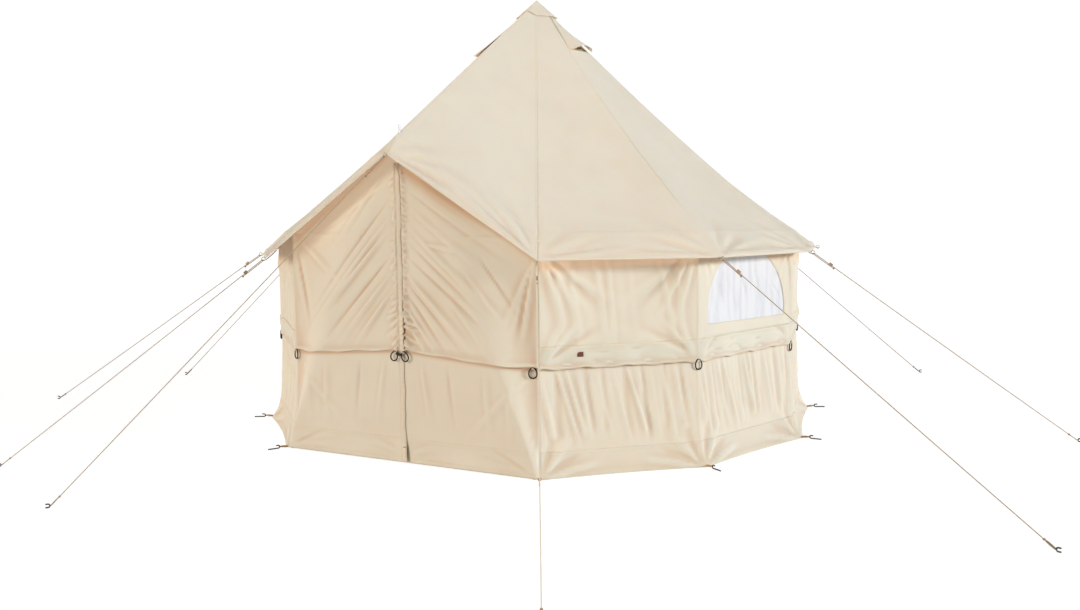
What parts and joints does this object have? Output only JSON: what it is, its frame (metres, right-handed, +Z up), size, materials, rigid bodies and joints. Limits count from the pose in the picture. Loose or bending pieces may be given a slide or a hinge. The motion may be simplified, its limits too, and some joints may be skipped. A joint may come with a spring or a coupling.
{
  "type": "bell tent",
  "caption": "Round canvas tent on a sectional centre pole, with a pole-framed zip door under an awning, hooded roof vents, arched film windows, a skirted wall and pegged guy lines.",
  "frame": {"origin": "on the ground under the middle of the centre pole foot", "axes": "+Z up the centre pole, -Y out through the middle of the door, +X to the right of someone who looks at the door from outside"},
  "size_m": [5.6277, 5.549, 2.249],
  "materials": {
    "canvas": "cream cotton canvas, plain weave, matt",
    "canvas_trim": "doubled cream cotton canvas with stitched edges",
    "mesh": "fine insect mesh",
    "window_film": "clear flexible film, slightly wrinkled",
    "pole_steel": "galvanised steel tube",
    "pole_plastic": "moulded black plastic",
    "rubber_foot": "black rubber",
    "peg_steel": "dark steel rod",
    "ring_steel": "nickelled wire ring",
    "elastic": "black elastic cord",
    "toggle_plastic": "black plastic toggle",
    "zip_metal": "dark zinc casting",
    "zip_tape": "woven zip tape with coil",
    "guy_cord": "twisted tan cord",
    "runner": "small turned wooden runner"
  },
  "bodies": {
    "root": {"apex_cap": "canvas_trim", "awning": "canvas", "door_gores": "canvas", "door_gussets": "canvas", "door_pole_feet": "rubber_foot", "door_pole_joints": "pole_steel", "door_pole_lower": "pole_steel", "door_pole_peak": "pole_steel", "door_pole_upper": "pole_steel", "eave_rings": "ring_steel", "guy_back": "guy_cord", "guy_back_left": "guy_cord", "guy_back_right": "guy_cord", "guy_door": "guy_cord", "guy_front_left": "guy_cord", "guy_front_right": "guy_cord", "guy_left": "guy_cord", "guy_left_front": "guy_cord", "guy_pegs": "peg_steel", "guy_returns": "guy_cord", "guy_right": "guy_cord", "guy_right_front": "guy_cord", "hem_band": "canvas_trim", "lower_walls": "canvas", "pole_cap": "pole_plastic", "pole_foot": "rubber_foot", "pole_joints": "pole_steel", "pole_lower": "pole_steel", "pole_middle": "pole_steel", "pole_upper": "pole_steel", "roof_gores": "canvas", "upper_walls": "canvas", "vent_hoods": "canvas_trim", "vent_mesh": "mesh", "vented_gores": "canvas", "waist_band": "canvas_trim", "waist_loops": "elastic", "wall_pegs": "peg_steel", "window_panes": "window_film", "window_walls": "canvas"},
    "door_left": {"door_leaf_left": "canvas", "zip_tape_left": "zip_tape", "storm_flap": "canvas_trim", "door_loop_left": "elastic", "door_toggle": "toggle_plastic"},
    "door_right": {"door_leaf_right": "canvas", "zip_tape_right": "zip_tape", "door_loop_right": "elastic"},
    "zip_slider": {"zip_slider": "zip_metal"},
    "zip_pull": {"zip_pull": "zip_metal"},
    "runner_door": {"runner_door": "runner"},
    "runner_front_right": {"runner_front_right": "runner"},
    "runner_right_front": {"runner_right_front": "runner"},
    "runner_right": {"runner_right": "runner"},
    "runner_back_right": {"runner_back_right": "runner"},
    "runner_back": {"runner_back": "runner"},
    "runner_back_left": {"runner_back_left": "runner"},
    "runner_left": {"runner_left": "runner"},
    "runner_left_front": {"runner_left_front": "runner"},
    "runner_front_left": {"runner_front_left": "runner"}
  },
  "joints": [
    {"name": "door_left_fold", "type": "hinge", "parent": "root", "child": "door_left", "pos_m": [-0.71113, -1.32072, 0], "axis": [-0.4265, 0, -0.9045], "range_deg": [0, 95]},
    {"name": "door_right_fold", "type": "hinge", "parent": "root", "child": "door_right", "pos_m": [0.71113, -1.32072, 0], "axis": [-0.4265, 0, 0.9045], "range_deg": [0, 95]},
    {"name": "zip_slide", "type": "slide", "parent": "door_right", "child": "zip_slider", "axis": [0, 0, 1], "range_m": [0, 1.22]},
    {"name": "zip_pull_swing", "type": "hinge", "parent": "zip_slider", "child": "zip_pull", "pos_m": [0, -1.33022, 0.078], "axis": [-1, 0, 0], "range_deg": [0, 120]},
    {"name": "runner_door_slide", "type": "slide", "parent": "root", "child": "runner_door", "axis": [-0.4398, -0.5632, -0.6995], "range_m": [0, 0.5]},
    {"name": "runner_front_right_slide", "type": "slide", "parent": "root", "child": "runner_front_right", "axis": [0.4156, -0.753, -0.5101], "range_m": [0, 0.5]},
    {"name": "runner_right_front_slide", "type": "slide", "parent": "root", "child": "runner_right_front", "axis": [0.7937, -0.3099, -0.5234], "range_m": [0, 0.5]},
    {"name": "runner_right_slide", "type": "slide", "parent": "root", "child": "runner_right", "axis": [0.7464, 0.3159, -0.5858], "range_m": [0, 0.5]},
    {"name": "runner_back_right_slide", "type": "slide", "parent": "root", "child": "runner_back_right", "axis": [0.5677, 0.5312, -0.6289], "range_m": [0, 0.5]},
    {"name": "runner_back_slide", "type": "slide", "parent": "root", "child": "runner_back", "axis": [0, 0.7832, -0.6217], "range_m": [0, 0.5]},
    {"name": "runner_back_left_slide", "type": "slide", "parent": "root", "child": "runner_back_left", "axis": [-0.4664, 0.6304, -0.6205], "range_m": [0, 0.5]},
    {"name": "runner_left_slide", "type": "slide", "parent": "root", "child": "runner_left", "axis": [-0.7791, 0.0375, -0.6258], "range_m": [0, 0.5]},
    {"name": "runner_left_front_slide", "type": "slide", "parent": "root", "child": "runner_left_front", "axis": [-0.8572, -0.0791, -0.5089], "range_m": [0, 0.5]},
    {"name": "runner_front_left_slide", "type": "slide", "parent": "root", "child": "runner_front_left", "axis": [-0.5911, -0.5345, -0.604], "range_m": [0, 0.5]}
  ]
}
